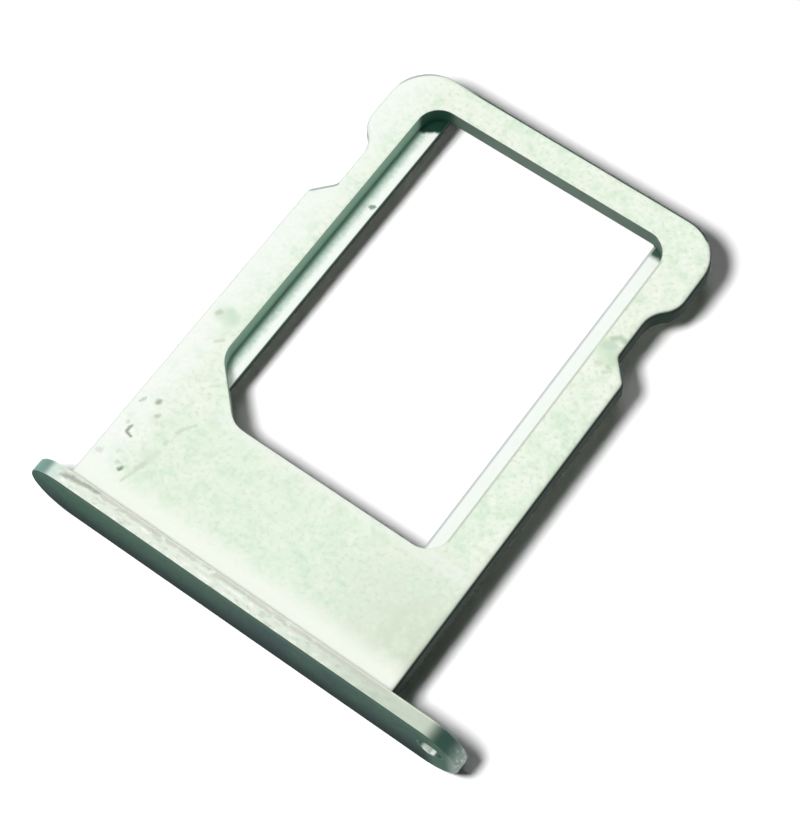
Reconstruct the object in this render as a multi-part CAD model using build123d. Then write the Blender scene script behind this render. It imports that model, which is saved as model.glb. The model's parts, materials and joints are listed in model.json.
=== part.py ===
from build123d import *
import os

# Card carried by the tray: its size, its cut-off corner and the play left round it
card_length = 12.30
card_width = 8.80
card_thickness = 0.67
card_key = 1.65
card_play = 0.075
card_proud = 0.02

# Rails round the pocket and the land that joins them to the bezel
side_rail = 1.385
far_rail = 1.10
near_land = 4.04
plate_corner = 1.42
plate_edge = 0.20

# Pocket corners, its softened rim, the two ledges under the card and the thinned far rail
pocket_corner = 0.75
pocket_rim = 0.05
key_round = 0.90
ledge_width = 0.60
ledge_thickness = 0.25
ledge_edge = 0.05
spring_relief = 0.30

# Detent notch in each long side, with a steep near flank and a soft far blend
shoulder_flat = 1.03
notch_depth = 0.62
notch_flank = 0.68
notch_floor = 1.30
notch_blend = 1.40
flank_ease = 0.05

# Bezel that closes the slot, longer on the side of the eject hole
bezel_short_end = 1.12
bezel_long_end = 2.66
bezel_height = 2.60
bezel_depth = 0.52
bezel_lip = 0.50
bezel_front_edge = 0.05
bezel_rear_edge = 0.10
root_fillet = 0.12

# Hole for the eject pin, placed from the bezel's long end and from its top
eject_diameter = 0.85
eject_inset = 0.98
eject_drop = 1.18
eject_edge = 0.05

# Reach of a cut past the face where it leaves the metal
cut_overrun = 0.50

# Sizes that follow from these
pocket_length = card_length + 2 * card_play
pocket_width = card_width + 2 * card_play
pocket_depth = card_thickness - card_proud
plate_width = pocket_width + 2 * side_rail
plate_length = near_land + pocket_length + far_rail
plate_thickness = pocket_depth + ledge_thickness
bezel_length = bezel_short_end + plate_width + bezel_long_end
tray_length = bezel_depth + plate_length

# Frame: X along the bezel from its middle, Y from mid-length towards the far rail,
# Z up from the bezel's lowest line
front_y = -tray_length / 2
rear_y = front_y + bezel_depth
plate_x = (bezel_short_end - bezel_long_end) / 2
plate_top = bezel_height - bezel_lip
plate_base = plate_top - plate_thickness

# Plate outline, measured from the bezel's back face, with its root buried in the bezel
plate_half = plate_width / 2
root_y = -bezel_depth / 2
floor_x = plate_half - notch_depth
blend_far = plate_length - plate_corner - shoulder_flat
blend_mid = blend_far - notch_blend / 2
floor_far = blend_far - notch_blend
floor_near = floor_far - notch_floor
flank_near = floor_near - notch_flank
with BuildSketch() as plate_outline:
    with BuildLine():
        root = Line((0, root_y), (plate_half, root_y))
        side = Line(root @ 1, (plate_half, flank_near))
        flank = Line(side @ 1, (floor_x, floor_near))
        floor = Line(flank @ 1, (floor_x, floor_far))
        dip = TangentArc(floor @ 1, (plate_half - notch_depth / 2, blend_mid), tangent=floor % 1)
        crest = TangentArc(dip @ 1, (plate_half, blend_far), tangent=dip % 1)
        shoulder = Line(crest @ 1, (plate_half, plate_length - plate_corner))
        corner = TangentArc(shoulder @ 1, (plate_half - plate_corner, plate_length), tangent=shoulder % 1)
        Line(corner @ 1, (0, plate_length))
        mirror(about=Plane.YZ)
    make_face()
    floor_mid = (floor_near + floor_far) / 2
    flank_ends = [v for v in plate_outline.vertices() if 0 < v.Y < floor_mid]
    fillet(flank_ends, radius=plate_edge + flank_ease)

# Plate with its rims rounded, top and bottom
plate = extrude(plate_outline.sketch, amount=plate_thickness)
rims = [e for e in plate.faces().filter_by(Axis.Z).edges() if e.center().Y > 0]
plate = fillet(rims, radius=plate_edge)

# Pocket in the shape of the card: one corner cut off as a key, the others round
pocket_half = pocket_width / 2
pocket_far = near_land + pocket_length
pocket_mid = near_land + pocket_length / 2
with BuildSketch() as pocket_outline:
    with BuildLine():
        Polyline(
            (-pocket_half + card_key, near_land),
            (pocket_half, near_land),
            (pocket_half, pocket_far),
            (-pocket_half, pocket_far),
            (-pocket_half, near_land + card_key),
            close=True,
        )
    make_face()
    square_corners = [v for v in pocket_outline.vertices() if v.X > 0 or v.Y > pocket_mid]
    fillet(square_corners, radius=pocket_corner)
    key_ends = [v for v in pocket_outline.vertices() if v.X < 0 and v.Y < pocket_mid]
    fillet(key_ends, radius=key_round)
plate -= Pos(0, 0, ledge_thickness) * extrude(pocket_outline.sketch, amount=pocket_depth)
top_face = plate.faces().sort_by(Axis.Z)[-1]
plate = fillet(top_face.inner_wires()[0].edges(), radius=pocket_rim)

# Window between the two ledges, open through the plate at both short ends of the card
window_width = pocket_width - 2 * ledge_width
window_span = Pos(0, pocket_mid) * Rectangle(window_width, pocket_length)
plate -= extrude(pocket_outline.sketch & window_span, amount=plate_thickness)
ledge_middle = (window_width + ledge_width) / 2
ledge_lips = [
    e
    for e in plate.edges().filter_by(Axis.Y)
    if abs(e.center().X) < ledge_middle and e.center().Z > ledge_thickness / 2
]
plate = fillet(ledge_lips, radius=ledge_edge)

# Underside of the far rail lifted between the ledges, to clear the reader's springs
relief_length = cut_overrun + far_rail + cut_overrun
relief = Box(window_width, relief_length, spring_relief, align=(Align.CENTER, Align.MIN, Align.MIN))
plate -= Pos(0, pocket_far - cut_overrun, 0) * relief

# Bezel bar with full-round ends and the eject hole in its long overhang
eject_x = bezel_length / 2 - eject_inset
eject_z = bezel_height / 2 - eject_drop
with BuildSketch(Plane.XZ) as bezel_outline:
    SlotOverall(bezel_length, bezel_height)
    with Locations((eject_x, eject_z)):
        Circle(eject_diameter / 2, mode=Mode.SUBTRACT)
bezel = extrude(bezel_outline.sketch, amount=bezel_depth)

# Front edge and hole mouth just broken, back edge softened
front_face = bezel.faces().sort_by(Axis.Y)[0]
bezel = fillet(front_face.outer_wire().edges(), radius=bezel_front_edge)
front_face = bezel.faces().sort_by(Axis.Y)[0]
bezel = fillet(front_face.inner_wires()[0].edges(), radius=eject_edge)
back_face = bezel.faces().sort_by(Axis.Y)[-1]
bezel = fillet(back_face.outer_wire().edges(), radius=bezel_rear_edge)

# One piece: the plate grows out of the bezel's back face, with a fillet that runs all round its root
tray = Pos(0, rear_y, bezel_height / 2) * bezel + Pos(plate_x, rear_y, plate_base) * plate
root_edge = tray.edges().filter_by(Axis.X).sort_by_distance((plate_x, rear_y, plate_base))[0]
tray = fillet(root_edge, radius=root_fillet)

os.makedirs("parts", exist_ok=True)
export_step(tray, "parts/sim_tray.step")
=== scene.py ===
# %% [markdown]
# A card tray is one small piece of aluminium: a plate with a pocket for the card, and a bezel that closes the slot.
# Its solid already has the true form, so this lesson keeps that mesh. All the work goes into the finish, the marks of
# use, the light and the camera, because those decide whether a plain pale part reads as blasted metal.

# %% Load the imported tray
import json
import math

import bpy
import numpy as np
from mathutils import Matrix, Vector

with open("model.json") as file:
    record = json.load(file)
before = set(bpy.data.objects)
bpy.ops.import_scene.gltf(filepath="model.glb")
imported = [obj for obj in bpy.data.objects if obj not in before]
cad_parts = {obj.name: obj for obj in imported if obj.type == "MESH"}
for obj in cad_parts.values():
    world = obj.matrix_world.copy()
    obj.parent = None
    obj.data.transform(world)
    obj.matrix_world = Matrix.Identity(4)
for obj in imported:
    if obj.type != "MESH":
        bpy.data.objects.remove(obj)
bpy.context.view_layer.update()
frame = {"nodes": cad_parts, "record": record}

MM = 0.001
tray = frame["nodes"]["sim_tray"]

# %% [markdown]
# Marks and finishes are placed on the tray's own faces, so those faces are read from the frame and aren't typed in
# again. The ledge, the bezel's back face and the eject hole are mounts in the record. The rest comes from the mesh: the
# plate is what lies behind the bezel, and the ledges are the points at the height of the card's seat.

# %% Read the faces that the finish needs
mounts = {m["name"]: Vector(m["pos_m"]) / MM for m in frame["record"]["mounts"]}
ledge_top = mounts["card_seat"].z
bezel_back = mounts["bezel_stop"].y
hole_x, hole_z = mounts["eject_hole"].x, mounts["eject_hole"].z
points = np.zeros(3 * len(tray.data.vertices), np.float32)
tray.data.vertices.foreach_get("co", points)
points = points.reshape(-1, 3) / MM
bezel_left, bezel_front, _ = (float(v) for v in points.min(axis=0))
bezel_right, _, bezel_top = (float(v) for v in points.max(axis=0))
on_plate = points[points[:, 1] > bezel_back + 1]
plate_left, plate_right = float(on_plate[:, 0].min()), float(on_plate[:, 0].max())
plate_top = float(on_plate[:, 2].max())
on_ledge = points[np.abs(points[:, 2] - ledge_top) < 0.005]
pocket_left, pocket_right = float(on_ledge[:, 0].min()), float(on_ledge[:, 0].max())
pocket_near, pocket_far = float(on_ledge[:, 1].min()), float(on_ledge[:, 1].max())
window_right = float(on_ledge[on_ledge[:, 0] > 0, 0].min())
print(f"plate from x {plate_left:.2f} to {plate_right:.2f} mm, its top at {plate_top:.2f} mm")
print(f"ledge at {ledge_top:.2f} mm, top of the bezel at {bezel_top:.2f} mm")

# %% [markdown]
# A long lens from above and to the front right shows the pocket, the bezel's face and the right side at once. The
# camera could be dragged into place by eye. Here it stands where straight edges of the tray line up with the picture:
# it looks at a point on the plate, from an azimuth, an elevation and a distance, with a little roll.

# %% Place the camera
look_at = Vector((0.150, -1.276, plate_top)) * MM
view_azimuth = math.radians(39.390)
view_elevation = math.radians(65.325)
view_roll = math.radians(-3.823)
view_distance = 67.075 * MM
camera_data = bpy.data.cameras.new("camera")
camera_data.sensor_fit = "HORIZONTAL"
camera_data.sensor_width = 36.0
camera_data.lens = 102.07
camera_data.clip_start = 1 * MM
camera = bpy.data.objects.new("camera", camera_data)
bpy.context.scene.collection.objects.link(camera)
turn = Matrix.Rotation(view_azimuth, 4, "Z") @ Matrix.Rotation(math.pi / 2 - view_elevation, 4, "X")
turn = turn @ Matrix.Rotation(view_roll, 4, "Z")
camera.matrix_world = Matrix.Translation(look_at + turn.to_3x3() @ Vector((0, 0, view_distance))) @ turn
bpy.context.scene.camera = camera
print("camera in mm:", [round(v / MM, 2) for v in camera.matrix_world.translation])

# %% [markdown]
# Colours are picked on a screen, so they are written as sRGB hex values. Shaders work in linear light, so one function
# changes them. Node trees get long when every node takes five lines, so a second function adds a node, its settings
# and its links in one call.

# %% Helpers for colours and nodes
COLOUR_A, COLOUR_B, MIXED_COLOUR = 6, 7, 2


def linear(hex_colour):
    """Each channel c becomes c / 12.92 near black and ((c + 0.055) / 1.055) ** 2.4 above, with alpha 1."""
    c = np.array([int(hex_colour[i : i + 2], 16) for i in (1, 3, 5)]) / 255
    light = np.where(c <= 0.04045, c / 12.92, ((c + 0.055) / 1.055) ** 2.4)
    return (*light.tolist(), 1.0)


def add(tree, kind, inputs=None, **settings):
    """Adds a node: settings are its own properties, and each input takes a value or another node's output."""
    made = tree.nodes.new(kind)
    for name, value in settings.items():
        setattr(made, name, value)
    for key, value in (inputs or {}).items():
        if isinstance(value, bpy.types.NodeSocket):
            tree.links.new(value, made.inputs[key])
        else:
            made.inputs[key].default_value = value
    return made


print("white in linear light:", linear("#FFFFFF"))

# %% [markdown]
# The tray was milled, blasted with fine beads and anodised. Blasting leaves the broad faces pale and matt. The walls
# that the cutter left stay smoother. They are drawn darker and greener, and that dark is painted shade: a surface takes
# a darker colour as it turns from facing up to facing sideways. One material holds both finishes, so it needs to know
# where a point lies, in millimetres, and which way the surface faces there. Object coordinates give the place, and they
# stay with the tray when it moves.

# %% Start the finish
aluminium = bpy.data.materials.new("bead_blasted_anodised_aluminium")
aluminium.use_nodes = True
tree = aluminium.node_tree
tree.nodes.clear()
coordinates = add(tree, "ShaderNodeTexCoord").outputs
per_mm = {"Vector": coordinates["Object"], "Scale": (1 / MM, 1 / MM, 1 / MM)}
in_mm = add(tree, "ShaderNodeMapping", per_mm).outputs[0]
x, y, z = add(tree, "ShaderNodeSeparateXYZ", {"Vector": in_mm}).outputs
facing_x, facing_y, facing_z = add(tree, "ShaderNodeSeparateXYZ", {"Vector": coordinates["Normal"]}).outputs
level = add(tree, "ShaderNodeMath", {0: facing_z}, operation="ABSOLUTE").outputs[0]


def zone(*limits):
    """Product of smooth steps: a limit is a value, where its step is still 0 and where it has risen to 1."""
    part = None
    for value, none_at, full_at in limits:
        ends = {"Value": value, "From Min": none_at, "From Max": full_at}
        step = add(tree, "ShaderNodeMapRange", ends, interpolation_type="SMOOTHSTEP").outputs[0]
        both = {0: step, 1: 1.0 if part is None else part}
        part = add(tree, "ShaderNodeMath", both, operation="MULTIPLY").outputs[0]
    return part


def lay(colour, tone, *limits, most=1.0):
    """Lays a tone over a colour inside the zone that the limits give, and covers the share most at its fullest."""
    part = add(tree, "ShaderNodeMath", {0: zone(*limits), 1: most}, operation="MULTIPLY").outputs[0]
    tones = {0: part, COLOUR_A: colour, COLOUR_B: linear(tone)}
    return add(tree, "ShaderNodeMix", tones, data_type="RGBA").outputs[MIXED_COLOUR]


print("nodes so far:", len(tree.nodes))

# %% [markdown]
# Blasted and anodised metal is never one even tone. Broad clouds of a few millimetres drift between cream and green,
# patches of half a millimetre lie inside them, and each bead leaves a dimple of some hundredths of a millimetre. Three
# noises give these scales, each sized in millimetres. The dimples are drawn coarser than real ones, which would be
# finer than a pixel.

# %% Clouds, patches and bead dimples
NOISE_SIZES = {"clouds": 2.4, "patches": 0.45, "dimples": 0.15}
noise = {
    name: add(tree, "ShaderNodeTexNoise", {"Vector": in_mm, "Scale": 1 / size, "Detail": 2.0, "Roughness": 0.55})
    for name, size in NOISE_SIZES.items()
}
clouds, patches, dimples = (noise[name].outputs[0] for name in NOISE_SIZES)
face = lay(linear("#F0F8E9"), "#E9F7E5", (clouds, 0.40, 0.60))
face = lay(face, "#F6FDEF", (patches, 0.50, 0.66), most=0.65)
face = lay(face, "#D8EDD4", (patches, 0.50, 0.34), most=0.60)
face = lay(face, "#CBDAC4", (dimples, 0.48, 0.28), most=0.42)
face = lay(face, "#FFFFF9", (dimples, 0.52, 0.72), most=0.50)
print("noise scales per mm:", {name: round(1 / size, 2) for name, size in NOISE_SIZES.items()})

# %% [markdown]
# Sliding in and out of its slot rubs the tray, and the edge at the window is paler. The left rail and the strip beside
# the bezel are paler too, but that is painted light: on the rail for light falling from the left, and on the strip for
# light beside the bezel. The middle of the land keeps more green, and the near right corner more grey. Painting these
# by hand would need an unwrapped mesh. Zones between two measured lines give the same soft strips, and they follow the
# part if its sizes change.

# %% Rubbed strips, and painted light on the left rail and by the bezel
face = lay(face, "#DAE6D2", (x, 0.0, plate_right), (y, -3.0, -7.0), (patches, 0.2, 0.6))
land_middle = zone(
    (x, 2.0, 0.0),
    (x, plate_left + 0.8, plate_left + 1.8),
    (y, pocket_near, pocket_near - 0.8),
)
face = lay(face, "#DBF1DA", (land_middle, 0.0, 1.0), most=0.25)
beside_window = zone((y, pocket_near - 0.45, pocket_near - 0.1), (y, pocket_near + 0.2, pocket_near + 0.1))
face = lay(face, "#F1F8EF", (beside_window, 0.0, 1.0), (x, pocket_left + 0.5, pocket_left + 1.2), most=0.5)
# Painted light: the left rail is paler, as if lit from the left
face = lay(face, "#FBFFFB", (x, plate_left + 1.6, plate_left + 0.2), most=0.7)
# Painted light: the strip beside the bezel is paler
face = lay(face, "#FBFFF5", (y, bezel_back + 1.2, bezel_back + 0.35), most=0.9)
print("painted light strips from", round(plate_left, 2), "and from", round(bezel_back, 2), "mm")

# %% [markdown]
# Dirt has no ruled edges. Before any mark is placed, the position itself is shaken by the finest noise, by a few
# hundredths of a millimetre. A mark is then a path of points, and the distance from the shaken position to that path
# decides where it shows. Because the path has a height, a mark stays on its own face.

# %% Distance to a path
SHAKE_REACH = 0.15
shake = {0: noise["dimples"].outputs["Color"], 1: (0.5, 0.5, 0.5)}
shake = add(tree, "ShaderNodeVectorMath", shake, operation="SUBTRACT").outputs[0]
ragged = {0: shake, 1: (SHAKE_REACH, SHAKE_REACH, 0.0), 2: in_mm}
ragged = add(tree, "ShaderNodeVectorMath", ragged, operation="MULTIPLY_ADD").outputs[0]
ragged_x, ragged_y, _ = add(tree, "ShaderNodeSeparateXYZ", {"Vector": ragged}).outputs


def path_distance(path, height):
    """Smallest distance in mm to straight runs: from a run's start s, the point nearest to p is s + clamp(t) * run."""
    nearest = None
    for start, end in zip(path, path[1:]):
        start, end = Vector((*start, height)), Vector((*end, height))
        run = end - start
        offset = add(tree, "ShaderNodeVectorMath", {0: ragged, 1: start}, operation="SUBTRACT").outputs[0]
        t = add(tree, "ShaderNodeVectorMath", {0: offset, 1: run / run.dot(run)}, operation="DOT_PRODUCT").outputs[1]
        t = add(tree, "ShaderNodeClamp", {"Value": t}).outputs[0]
        foot = add(tree, "ShaderNodeVectorMath", {0: run, "Scale": t}, operation="SCALE").outputs[0]
        found = add(tree, "ShaderNodeVectorMath", {0: offset, 1: foot}, operation="DISTANCE").outputs[1]
        both = {0: found, 1: found if nearest is None else nearest}
        nearest = add(tree, "ShaderNodeMath", both, operation="MINIMUM").outputs[0]
    return nearest


print("nodes so far:", len(tree.nodes))

# %% [markdown]
# The ledges lie deep in the pocket, where nothing rubs them, so they are the palest faces. The green along the foot of
# the left wall and the dark wedges at the far ends are painted shade, the shadows that the walls cast on the ledges.
# The ledges could have a material of their own. Here a band of heights between the pocket's rims finds them, so the
# mesh needs no groups of faces.

# %% Ledges, with painted shade by the walls
at_height = add(tree, "ShaderNodeMath", {0: z, 1: ledge_top, 2: 0.06}, operation="COMPARE").outputs[0]
between_rims = zone((x, pocket_left - 0.2, pocket_left - 0.1), (x, pocket_right + 0.2, pocket_right + 0.1))
on_ledges = zone((at_height, 0.0, 1.0), (between_rims, 0.0, 1.0))
face = lay(face, "#FAFFF9", (on_ledges, 0.0, 1.0))
# Painted shade: green along the foot of the left wall
face = lay(face, "#7FA891", (on_ledges, 0.0, 1.0), (ragged_x, pocket_left + 0.42, pocket_left + 0.06), most=0.85)
# Painted shadows of the far wall on the ends of the ledges
left_corner_shadow = path_distance([(pocket_left, pocket_far - 0.45), (pocket_left + 0.65, pocket_far)], ledge_top)
face = lay(face, "#16382D", (left_corner_shadow, 0.42, 0.28))
right_corner_shadow = path_distance([(pocket_right - 0.6, pocket_far), (pocket_right, pocket_far - 0.03)], ledge_top)
face = lay(face, "#3F5A4C", (right_corner_shadow, 0.45, 0.20))
print("ledges at", round(ledge_top, 2), "mm, pocket from", round(pocket_left, 2), "to", round(pocket_right, 2), "mm")

# %% [markdown]
# Thin lines run along the pocket: grey ones along the lip of the right ledge and the right rim, and a dark one along
# the near rim, where the plate ends at the window. All three are painted shade on the rounded edges. They could be
# drawn as curves. Each lies beside a straight edge that was measured above, so a narrow zone is enough.

# %% Painted shade lines along the pocket
along_rim = zone((y, pocket_near + 0.4, pocket_near + 0.8), (y, pocket_far - 0.4, pocket_far - 0.8))
lip_shade = zone((on_ledges, 0.0, 1.0), (x, 0.0, 1.0), (x, window_right + 0.08, window_right + 0.02))
face = lay(face, "#C4CBCB", (lip_shade, 0.0, 1.0), most=0.8)
right_rim_shade = zone(
    (z, ledge_top + 0.2, plate_top - 0.1),
    (x, pocket_right - 0.1, pocket_right),
    (x, pocket_right + 0.10, pocket_right + 0.04),
)
face = lay(face, "#B8BCAF", (right_rim_shade, 0.0, 1.0), (along_rim, 0.0, 1.0), most=0.6)
near_rim_shade = zone(
    (y, pocket_near - 0.06, pocket_near - 0.03),
    (y, pocket_near + 0.10, pocket_near + 0.05),
    (z, plate_top - 0.10, plate_top - 0.06),
    (x, pocket_left + 2.0, pocket_left + 2.3),
    (x, pocket_right - 0.5, pocket_right - 0.8),
)
face = lay(face, "#66726A", (near_rim_shade, 0.0, 1.0), most=0.9)
print("near rim at", round(pocket_near, 2), "mm, right rim at", round(pocket_right, 2), "mm")

# %% [markdown]
# Use leaves specks and smears on the left of the plate, two greenish stains on the rails and a speck on the ledge.
# The white dot in the dark crescent is a painted highlight.
# Each is listed with its path, its reach to both sides and its tone. One loop lays them all, so a new mark is one line.

# %% Specks, smears and stains
MARKS = [
    ([(-6.08, -1.78), (-5.72, -1.85)], 0.42, "#E2F1DF"),
    ([(-5.90, -1.60), (-5.70, -1.74)], 0.26, "#D9ECD6"),
    ([(-6.24, -1.86), (-6.20, -1.77)], 0.14, "#D2DBC8"),
    ([(-5.72, -2.66), (-5.53, -2.49)], 0.09, "#DAE6D3"),
    ([(3.99, 3.91), (4.30, 3.67)], 0.55, "#E0EFD8"),
    ([(4.01, 4.28), (4.16, 4.43), (4.33, 4.42)], 0.17, "#C8DBC3"),
    ([(3.94, 3.99), (4.13, 4.06)], 0.28, "#D0E4D0"),
    ([(4.24, 3.79), (4.43, 3.60)], 0.20, "#D6E9D2"),
    ([(4.04, 3.35), (4.15, 3.41)], 0.13, "#DFE6CF"),
    ([(4.37, 3.44), (4.42, 3.42)], 0.11, "#CFE0C5"),
    ([(4.37, 3.21), (4.49, 3.29)], 0.10, "#D8E7CE"),
    ([(-5.19, -7.82), (-5.11, -7.54), (-5.05, -7.31)], 0.08, "#DCE9D4"),
    ([(-5.05, -7.27), (-4.94, -6.95)], 0.14, "#D9E3D3"),
    ([(-4.93, -6.84), (-4.85, -6.51)], 0.17, "#E1ECDB"),
    ([(-4.86, -6.16), (-4.85, -6.10)], 0.11, "#D8E6D1"),
    ([(-4.79, -5.69), (-4.76, -5.57), (-4.59, -5.35), (-4.48, -5.18)], 0.10, "#DAE8D2"),
    ([(-5.88, -5.23), (-5.84, -5.19)], 0.13, "#ABB4A5"),
    ([(-6.33, -5.49), (-6.24, -5.28)], 0.06, "#D3DDCE"),
    ([(-5.60, -5.62), (-5.58, -5.58)], 0.14, "#CDD5C7"),
    ([(-6.03, -6.29), (-6.06, -6.40), (-6.03, -6.49), (-5.95, -6.54), (-5.85, -6.55)], 0.09, "#A6B1A2"),
    # Painted highlight inside the crescent
    ([(-5.95, -6.40), (-5.92, -6.41)], 0.06, "#FFFFFF"),
    ([(-6.21, -6.25), (-6.22, -6.19)], 0.10, "#DDE8DA"),
    ([(-6.32, -6.02), (-6.27, -5.97)], 0.11, "#E1EBDE"),
    ([(-5.86, -7.16), (-5.84, -7.12)], 0.12, "#E1EDD9"),
    ([(-5.46, -7.59), (-5.43, -7.51)], 0.11, "#98A290"),
    ([(-5.66, -7.44), (-5.64, -7.42)], 0.10, "#D6E2CF"),
    ([(-6.36, -7.45), (-6.32, -7.41)], 0.15, "#E4E8E2"),
]
CORE_SHARE = 0.15
for path, reach, tone in MARKS:
    beside_path = (path_distance(path, plate_top), reach, reach * CORE_SHARE)
    face = lay(face, tone, beside_path, (patches, 0.15, 0.45))
ledge_speck = path_distance([(-4.86, 4.05), (-4.78, 4.11)], ledge_top)
face = lay(face, "#92A99A", (ledge_speck, 0.10, 0.03))
print("marks:", len(MARKS) + 1)

# %% [markdown]
# The bezel's top is handled most. It is greyer than the plate, darkest at its long end, and scratched along its length.
# A painted highlight, broken into flecks, runs along the right half of its front edge. A broken grey band runs along
# its rear edge, with a smudge at the short end, and painted shade turns the top pale teal where the short end rounds
# off.
# The scratches are a noise that is stretched along the bezel, which takes one Mapping node and no drawing.

# %% Top of the bezel
on_top = zone((z, plate_top + 0.2, bezel_top - 0.2))
stretched = add(tree, "ShaderNodeMapping", {"Vector": in_mm, "Scale": (3.0, 7.0, 3.0)}).outputs[0]
scratches = add(tree, "ShaderNodeTexNoise", {"Vector": stretched, "Scale": 1.0, "Detail": 3.0}).outputs[0]
face = lay(face, "#E6F0E2", (on_top, 0.0, 1.0), most=0.85)
face = lay(face, "#C6D0C0", (on_top, 0.0, 1.0), (scratches, 0.50, 0.72), most=0.7)
face = lay(face, "#FFFFF8", (on_top, 0.0, 1.0), (scratches, 0.46, 0.30), most=0.8)
face = lay(face, "#C2D0BD", (on_top, 0.0, 1.0), (x, 0.0, bezel_right - 1.35), most=0.75)
rear_band = zone(
    (on_top, 0.0, 1.0),
    (ragged_y, bezel_back - 0.22, bezel_back - 0.14),
    (x, 6.0, 4.5),
    (patches, 0.35, 0.50),
)
face = lay(face, "#D2D0C6", (rear_band, 0.0, 1.0), most=0.7)
front_edge_highlight = (y, bezel_front + 0.16, bezel_front + 0.06)
# Painted highlight along the front edge, broken into flecks
face = lay(face, "#FFFFF8", (on_top, 0.0, 1.0), front_edge_highlight, (dimples, 0.52, 0.64), (x, 4.0, 2.0), most=0.6)
smudge = path_distance([(-6.57, -8.80), (-6.28, -8.73), (-5.92, -8.71), (-5.54, -8.63), (-5.27, -8.59)], bezel_top)
face = lay(face, "#9A9E93", (smudge, 0.12, 0.02), most=0.7)
# Painted shade where the short end's rounding begins
face = lay(face, "#D5EBE0", (on_top, 0.0, 1.0), (x, bezel_left + 1.30, bezel_left + 1.00), most=0.8)
print("bezel top at", round(bezel_top, 2), "mm")

# %% [markdown]
# The milled walls get a second chain of tones, beside that of the faces, and their dark green is painted shade. The
# bezel's front runs from green at the left to slate, in broad patches. It is painted lighter near its top and darker
# towards its lowest line, painted light and shade by height. The outer right side is almost neutral and darker still,
# painted shade on the side turned from the lamps.

# %% Bezel's front and outer sides
# Painted shade: the walls' dark green, with hue that varies at random
side = lay(linear("#3B5E4D"), "#3D574E", (x, -6.5, 1.0))
side = lay(side, "#4B6D5F", (patches, 0.45, 0.70), most=0.5)
side = lay(side, "#33494C", (clouds, 0.52, 0.66), most=0.6)
side = lay(side, "#2B4743", (dimples, 0.50, 0.68), most=0.5)
# Painted light near the top of the walls
side = lay(side, "#50705F", (z, bezel_top - 0.7, bezel_top), most=0.6)
# Painted shade towards the lowest line
side = lay(side, "#042523", (z, bezel_top - 0.6, 0.0))
# Painted shade on sides that face right, away from the lamps
side = lay(side, "#2E3A33", (facing_x, 0.3, 0.9))
print("front darkens from", round(bezel_top - 0.6, 2), "mm down")

# %% [markdown]
# The pocket's wall is lighter and greener than the outer walls, painted light that the pale ledges throw onto it, most
# on its left side. The dark line at its foot and the darkest tone in the far left corner are painted shade. It could be
# picked by hand in the mesh. A box of zones round the pocket finds it too, and the way the wall faces tells its left
# side from the rest.

# %% Pocket's wall
in_pocket = zone(
    (between_rims, 0.0, 1.0),
    (y, pocket_near - 0.2, pocket_near - 0.1),
    (y, pocket_far + 0.2, pocket_far + 0.1),
    (z, ledge_top - 0.08, ledge_top),
)
# Painted light: the pocket's wall is lighter than the outer walls
side = lay(side, "#73857B", (in_pocket, 0.0, 1.0))
# Painted light: lighter still on the left side, beside the pale ledge
side = lay(side, "#8AA998", (in_pocket, 0.0, 1.0), (facing_x, 0.55, 0.98))
# Painted shade: a dark line at the wall's foot
side = lay(side, "#4E6F5D", (in_pocket, 0.0, 1.0), (z, ledge_top + 0.22, ledge_top + 0.05), most=0.45)
# Painted shade: darkest in the far left corner
corner_wall_shade = zone(
    (in_pocket, 0.0, 1.0),
    (x, pocket_left + 1.1, pocket_left + 0.5),
    (y, pocket_far - 0.9, pocket_far - 0.5),
)
side = lay(side, "#1F4A3B", (corner_wall_shade, 0.0, 1.0), most=0.9)
print("nodes so far:", len(tree.nodes))

# %% [markdown]
# The bezel's round ends turn from green to pale teal, and these tones are painted light and shade on the rounding. The
# long end is painted dark teal where it turns from the lamps, and its tip is paler, a painted reflection, worn to
# bright specks. The short end's cap is painted pale teal where it faces up to the left. The wall of the eject hole is
# painted paler than the front that it goes through, painted light against the shade inside the hole. Distances from the
# bezel's two ends place these tones, so they stay at the ends of a longer or shorter bezel.

# %% Bezel's ends and eject hole
in_bezel = (y, bezel_back + 0.01, bezel_back - 0.03)
right_end = zone(in_bezel, (x, bezel_right - 1.40, bezel_right - 0.60))
# Painted shade: the long end is dark teal where it turns from the lamps
side = lay(side, "#456459", (right_end, 0.0, 1.0))
# Painted reflection: a pale patch at the tip
side = lay(side, "#8E9C96", (right_end, 0.0, 1.0), (x, bezel_right - 0.50, bezel_right - 0.05))
right_tip = (x, bezel_right - 0.35, bezel_right)
side = lay(side, "#D6DEDA", (right_end, 0.0, 1.0), right_tip, (dimples, 0.55, 0.70), most=0.7)
in_hole = zone(
    (x, hole_x - 0.50, hole_x - 0.42),
    (x, hole_x + 0.50, hole_x + 0.42),
    (z, hole_z - 0.50, hole_z - 0.42),
    (z, hole_z + 0.50, hole_z + 0.42),
    (facing_y, -0.95, -0.80),
)
# Painted light: the hole's wall is paler, against the shade inside it
side = lay(side, "#6A877D", (in_hole, 0.0, 1.0), (y, bezel_back, bezel_back - 0.05))
left_end = zone(in_bezel, (x, bezel_left + 0.95, bezel_left + 0.50), (facing_y, -0.8, -0.4))
# Painted light: the short end's cap is pale teal where it faces up to the left
side = lay(side, "#8FB2AA", (left_end, 0.0, 1.0))
print("nodes so far:", len(tree.nodes))

# %% [markdown]
# Rims are where the two finishes meet. The left rim is painted pale, painted light from the left, and the bezel's rear
# edge gets a painted highlight. The far left corner keeps a grey outline, the far rim is painted dark, a painted shadow
# along it, and the lower side of the eject hole gets a painted highlight. They could be painted on.
# Each is found here by where it lies and which way it faces, so the tones bend round the rim with it.

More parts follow.
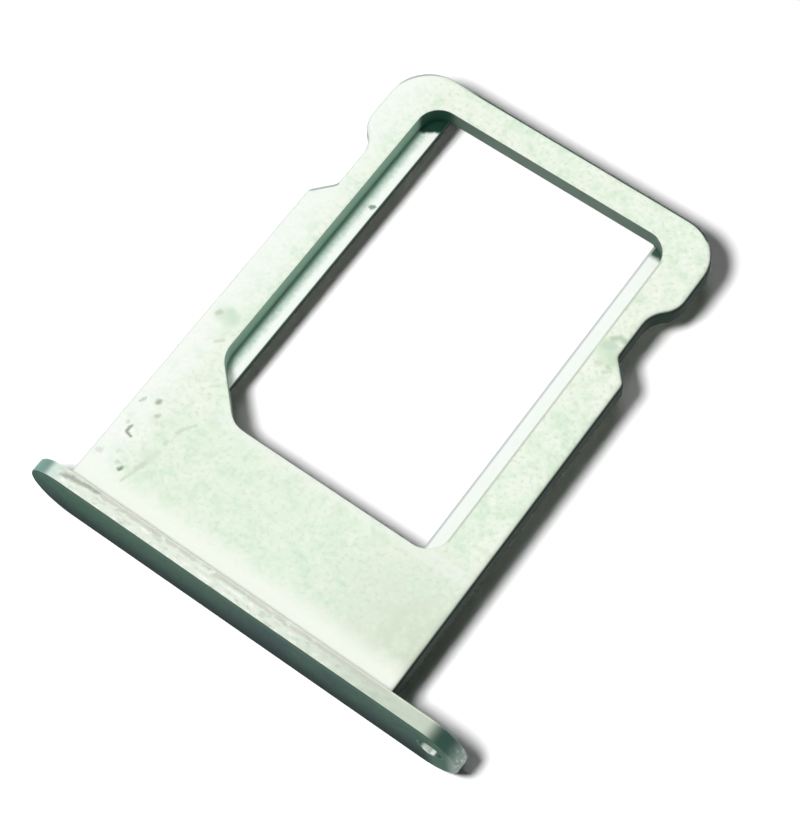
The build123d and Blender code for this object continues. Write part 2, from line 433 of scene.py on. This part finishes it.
# %% Rims, with painted light, a painted shadow and the painted highlight in the hole
# Painted light: the left rim is kept pale
lit_left_rim = zone((facing_x, -0.15, -0.45), (y, bezel_back - 0.02, bezel_back + 0.1), (level, 0.12, 0.33))
# Painted highlight on the bezel's rear edge
rear_edge_highlight = zone((facing_y, 0.1, 0.4), (y, bezel_back + 0.02, bezel_back - 0.02), (level, 0.15, 0.45))
face = lay(face, "#F4F8EE", (rear_edge_highlight, 0.0, 1.0), most=0.7)
face = lay(face, "#C4CCCA", (lit_left_rim, 0.0, 1.0), (facing_x, -0.50, -0.85), most=0.35)
face = lay(face, "#A3B4AE", (facing_y, 0.06, 0.22), (facing_x, -0.06, -0.22), (y, 0.0, 1.0), most=0.8)
glint_x = hole_x + 0.07
hole_glint = zone(
    (x, glint_x - 0.15, glint_x - 0.02),
    (x, glint_x + 0.15, glint_x + 0.02),
    (y, bezel_back, bezel_back - 0.05),
    (z, hole_z, hole_z - 0.1),
    (level, 0.90, 1.00),
)
# Painted shadow: the far rim is dark
far_rim_shadow = zone((facing_y, 0.25, 0.60), (y, pocket_far + 0.7, pocket_far + 0.8), (x, -5.2, -3.8))
print("bright side of the hole at", round(glint_x, 2), "mm")

# %% [markdown]
# The direction of the surface decides which finish shows, so a rounded rim runs softly from pale to dark. This lays the
# walls' painted shade: a surface turned sideways takes the dark wall tones. One shader takes the result. Bare aluminium
# is fully metallic. Blasting and the anodised skin scatter most of the light, so the faces are less so, and both are
# rough. The dimples give the bump. A metal keeps the shader's own IOR.

# %% Join walls and faces in one shader
wall = zone((level, 0.93, 0.45), (lit_left_rim, 1.0, 0.0), (rear_edge_highlight, 1.0, 0.0))
wall = add(tree, "ShaderNodeMath", {0: wall, 1: far_rim_shadow}, operation="MAXIMUM").outputs[0]
wall = add(tree, "ShaderNodeMath", {0: wall, 1: right_end}, operation="MAXIMUM").outputs[0]
wall = add(tree, "ShaderNodeMath", {0: wall, 1: left_end}, operation="MAXIMUM").outputs[0]
wall = zone((wall, 0.0, 1.0), (hole_glint, 1.0, 0.0))
tones = {0: wall, COLOUR_A: face, COLOUR_B: side}
metal_colour = add(tree, "ShaderNodeMix", tones, data_type="RGBA").outputs[MIXED_COLOUR]
bare = add(tree, "ShaderNodeMath", {0: wall, 1: rear_edge_highlight}, operation="MAXIMUM").outputs[0]
metallic = add(tree, "ShaderNodeMapRange", {"Value": bare, "To Min": 0.3, "To Max": 1.0}).outputs[0]
bump = add(tree, "ShaderNodeBump", {"Height": dimples, "Strength": 0.2, "Distance": 0.01 * MM}).outputs[0]
roughness = add(tree, "ShaderNodeMapRange", {"Value": patches, "To Min": 0.70, "To Max": 0.86}).outputs[0]
surface = {"Base Color": metal_colour, "Metallic": metallic, "Roughness": roughness, "Normal": bump}
metal = add(tree, "ShaderNodeBsdfPrincipled", surface)
add(tree, "ShaderNodeOutputMaterial", {"Surface": metal.outputs[0]})
tray.material_slots[0].material = aluminium
print("nodes in the finish:", len(tree.nodes))

# %% [markdown]
# The tray lies on plain white paper in a white room, as on a product table. Both are white for the eye and for
# reflections. For scattered light they are dim, so that the paper doesn't fill the shade on the walls. A Light Path
# node tells these rays apart, and the paper still takes the tray's shadow. Uncoated paper is matt, so a plain diffuse
# shader is enough.

# %% White paper
scene = bpy.context.scene
scene.view_settings.view_transform = "Standard"
PAPER_REACH = 1.0
corners = np.array([(-1, -1, 0), (1, -1, 0), (1, 1, 0), (-1, 1, 0)]) * PAPER_REACH
paper_mesh = bpy.data.meshes.new("paper")
paper_mesh.from_pydata(corners.tolist(), [], [(0, 1, 2, 3)])
paper = bpy.data.objects.new("paper", paper_mesh)
scene.collection.objects.link(paper)


def seen(tree):
    """One where a ray comes from the camera, a reflection or a clear body, and zero for scattered light."""
    path = add(tree, "ShaderNodeLightPath").outputs
    first = {0: path["Is Camera Ray"], 1: path["Is Glossy Ray"]}
    first = add(tree, "ShaderNodeMath", first, operation="ADD").outputs[0]
    both = {0: first, 1: path["Is Transmission Ray"]}
    return add(tree, "ShaderNodeMath", both, operation="ADD", use_clamp=True).outputs[0]


white_paper = bpy.data.materials.new("uncoated_white_paper")
white_paper.use_nodes = True
sheet = white_paper.node_tree
sheet.nodes.clear()
tones = {0: seen(sheet), COLOUR_A: linear("#404040"), COLOUR_B: linear("#FEFEFE")}
paper_tone = add(sheet, "ShaderNodeMix", tones, data_type="RGBA").outputs[MIXED_COLOUR]
matt = add(sheet, "ShaderNodeBsdfDiffuse", {"Color": paper_tone}).outputs[0]
add(sheet, "ShaderNodeOutputMaterial", {"Surface": matt})
paper_mesh.materials.append(white_paper)
print("paper reaches", PAPER_REACH, "m each way")

# %% [markdown]
# The room could be modelled with its walls, but a background shader gives the same even white from every side. For
# scattered light it is nearly dark, because the lamps give that.

# %% White room
ROOM_FILL = 0.012
world = bpy.data.worlds.new("white_room")
world.use_nodes = True
room = world.node_tree
room.nodes.clear()
room_level = add(room, "ShaderNodeMapRange", {"Value": seen(room), "To Min": ROOM_FILL, "To Max": 1.0}).outputs[0]
walls = add(room, "ShaderNodeBackground", {"Color": linear("#FFFFFF"), "Strength": room_level}).outputs[0]
add(room, "ShaderNodeOutputWorld", {"Surface": walls})
scene.world = world
print("room for scattered light:", ROOM_FILL)

# %% [markdown]
# A shadow that hugs the tray on all sides needs a lamp close to the lens, but so close a lamp would light the tray
# unevenly. So the tray and the paper have lamps of their own. Light linking tells a lamp what it lights, as flags do in
# a studio, and the tray still casts its shadow there. Distant lamps are suns. A sun's place is given by its slopes: how
# far a shadow moves, to the right and to the back, for each millimetre of height. Those on the tray add up to about one
# on a level face, so a colour renders about as it is written. Reflections see the white room already, so the lamps stay
# out of them.

# %% Soft distant lamps
SUNS = {
    "tray_front_lamp": (tray, (0.16, 0.28), 18, 0.86),
    "tray_back_lamp": (tray, (0.12, -0.15), 14, 0.22),
    "paper_back_lamp": (paper, (0.10, -0.06), 16, 0.10),
}


def light_only(lamp, thing):
    """Puts a lamp into the scene and links its light to one thing."""
    lit = bpy.data.collections.new(lamp.name + "_lights")
    lit.objects.link(thing)
    lamp.light_linking.receiver_collection = lit
    lamp.visible_glossy = False
    scene.collection.objects.link(lamp)


for name, (thing, slopes, spread, brightness) in SUNS.items():
    towards_sun = Vector((-slopes[0], -slopes[1], 1.0)).normalized()
    sun_data = bpy.data.lights.new(name, "SUN")
    sun_data.angle = math.radians(spread)
    sun_data.energy = brightness * math.pi / towards_sun.z
    sun = bpy.data.objects.new(name, sun_data)
    sun.rotation_euler = towards_sun.to_track_quat("Z", "Y").to_euler()
    light_only(sun, thing)
    print(name, "strength:", round(sun_data.energy, 2))

# %% [markdown]
# The paper's main lamp is a soft bulb to the left of the lens and about as far away. Light fades with the square of the
# distance, which would leave the far paper grey, so a falloff node keeps the bulb's light even.

# %% Bulb beside the lens
BULB_PLACE = Vector((-5.0, -28.8, 63.0)) * MM
BULB_BRIGHTNESS = 1.16
bulb_data = bpy.data.lights.new("paper_front_lamp", "POINT")
bulb_data.shadow_soft_size = 8.0 * MM
bulb_data.energy = 1.0
bulb_data.use_nodes = True
glow = bulb_data.node_tree
glow.nodes.clear()
# Without falloff, a bulb of strength 4 pi squared lights a level sheet below it to one
even_light = {"Strength": BULB_BRIGHTNESS * 4 * math.pi**2}
even_light = add(glow, "ShaderNodeLightFalloff", even_light).outputs["Constant"]
shining = add(glow, "ShaderNodeEmission", {"Strength": even_light}).outputs[0]
add(glow, "ShaderNodeOutputLight", {"Surface": shining})
bulb = bpy.data.objects.new("paper_front_lamp", bulb_data)
bulb.location = BULB_PLACE
light_only(bulb, paper)
print("bulb in mm:", [round(v / MM, 1) for v in bulb.location])
